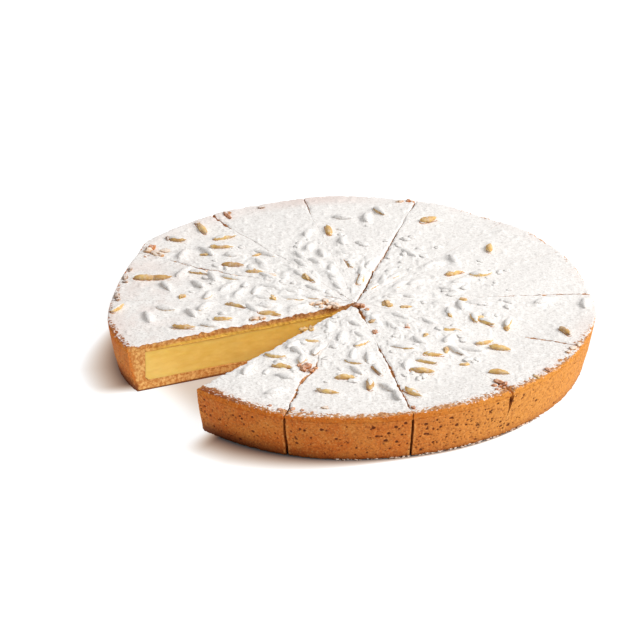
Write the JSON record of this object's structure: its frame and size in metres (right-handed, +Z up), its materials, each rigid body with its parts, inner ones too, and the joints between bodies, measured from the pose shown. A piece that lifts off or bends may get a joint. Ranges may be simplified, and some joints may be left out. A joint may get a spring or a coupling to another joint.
{
  "type": "pine nut custard tart",
  "caption": "Round shortcrust tart filled with custard, its lid strewn with pine nuts and icing sugar, cut into portions with one portion taken out.",
  "frame": {"origin": "on the table, under the middle of the tart's base", "axes": "+Z up; -Y is the side towards the picture's camera and +X is its right; the gap of the missing portion points between -X and -Y"},
  "size_m": [0.2814, 0.2806, 0.0333],
  "materials": {
    "browned_pastry": "matt baked shortcrust, golden brown outside and cream where it is cut",
    "custard": "smooth moist custard",
    "sugared_lid": "icing sugar over a golden pastry lid, with golden pine nuts"
  },
  "bodies": {
    "root": {"shell_01": "browned_pastry", "custard_01": "custard", "lid_01": "sugared_lid", "shell_02": "browned_pastry", "custard_02": "custard", "lid_02": "sugared_lid", "shell_03": "browned_pastry", "custard_03": "custard", "lid_03": "sugared_lid", "shell_04": "browned_pastry", "custard_04": "custard", "lid_04": "sugared_lid", "shell_05": "browned_pastry", "custard_05": "custard", "lid_05": "sugared_lid", "shell_06": "browned_pastry", "custard_06": "custard", "lid_06": "sugared_lid", "shell_07": "browned_pastry", "custard_07": "custard", "lid_07": "sugared_lid", "shell_08": "browned_pastry", "custard_08": "custard", "lid_08": "sugared_lid", "shell_09": "browned_pastry", "custard_09": "custard", "lid_09": "sugared_lid", "shell_10": "browned_pastry", "custard_10": "custard", "lid_10": "sugared_lid", "shell_11": "browned_pastry", "custard_11": "custard", "lid_11": "sugared_lid", "shell_12": "browned_pastry", "custard_12": "custard", "lid_12": "sugared_lid", "shell_13": "browned_pastry", "custard_13": "custard", "lid_13": "sugared_lid"}
  },
  "joints": []
}
